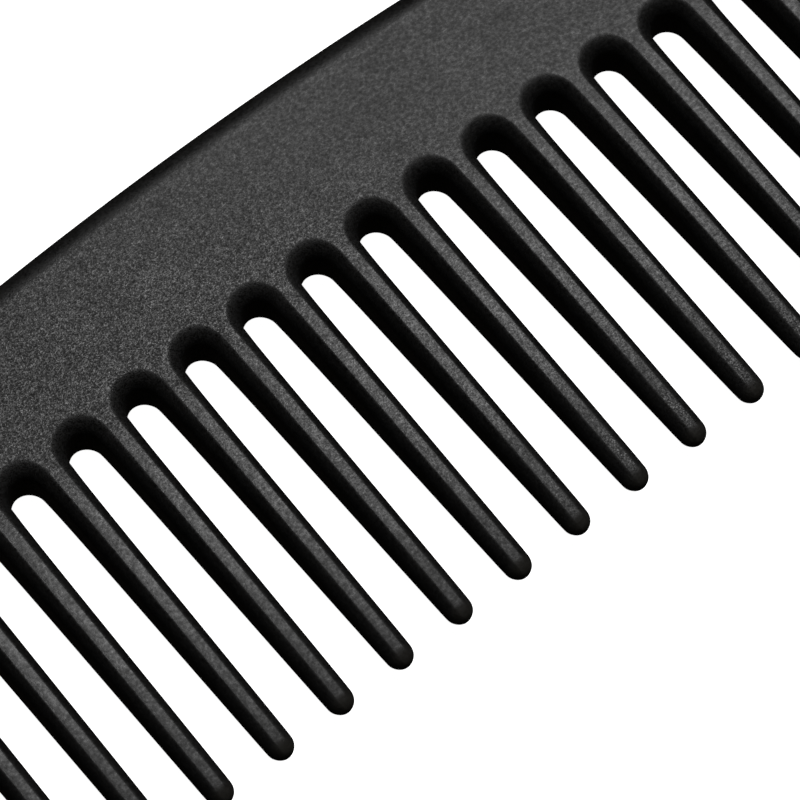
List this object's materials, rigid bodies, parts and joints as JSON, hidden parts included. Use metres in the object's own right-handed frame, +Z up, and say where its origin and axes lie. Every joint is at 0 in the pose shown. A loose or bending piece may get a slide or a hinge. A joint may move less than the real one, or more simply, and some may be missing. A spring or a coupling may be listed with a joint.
{
  "type": "hair comb",
  "caption": "Moulded wide-toothed plastic hair comb: arched back bar, tapered round-tipped teeth and a thicker guard tooth at each end.",
  "frame": {"origin": "bottom centre of the bounding box: the comb lies flat, with its lower face on the ground plane", "axes": "+X along the comb, +Y from the tooth tips to the back, +Z up through the thickness"},
  "size_m": [0.1766, 0.047, 0.0058],
  "materials": {
    "bar_grained": "fine moulded grain, matt",
    "tooth_satin": "smooth satin, lightly rubbed along its length"
  },
  "bodies": {
    "root": {"spine": "bar_grained", "tooth_01": "tooth_satin", "tooth_02": "tooth_satin", "tooth_03": "tooth_satin", "tooth_04": "tooth_satin", "tooth_05": "tooth_satin", "tooth_06": "tooth_satin", "tooth_07": "tooth_satin", "tooth_08": "tooth_satin", "tooth_09": "tooth_satin", "tooth_10": "tooth_satin", "tooth_11": "tooth_satin", "tooth_12": "tooth_satin", "tooth_13": "tooth_satin", "tooth_14": "tooth_satin", "tooth_15": "tooth_satin", "tooth_16": "tooth_satin", "tooth_17": "tooth_satin", "tooth_18": "tooth_satin", "tooth_19": "tooth_satin", "tooth_20": "tooth_satin", "tooth_21": "tooth_satin", "tooth_22": "tooth_satin", "tooth_23": "tooth_satin", "tooth_24": "tooth_satin", "tooth_25": "tooth_satin", "tooth_26": "tooth_satin", "tooth_27": "tooth_satin", "guard_tooth_left": "tooth_satin", "guard_tooth_right": "tooth_satin"}
  },
  "joints": []
}
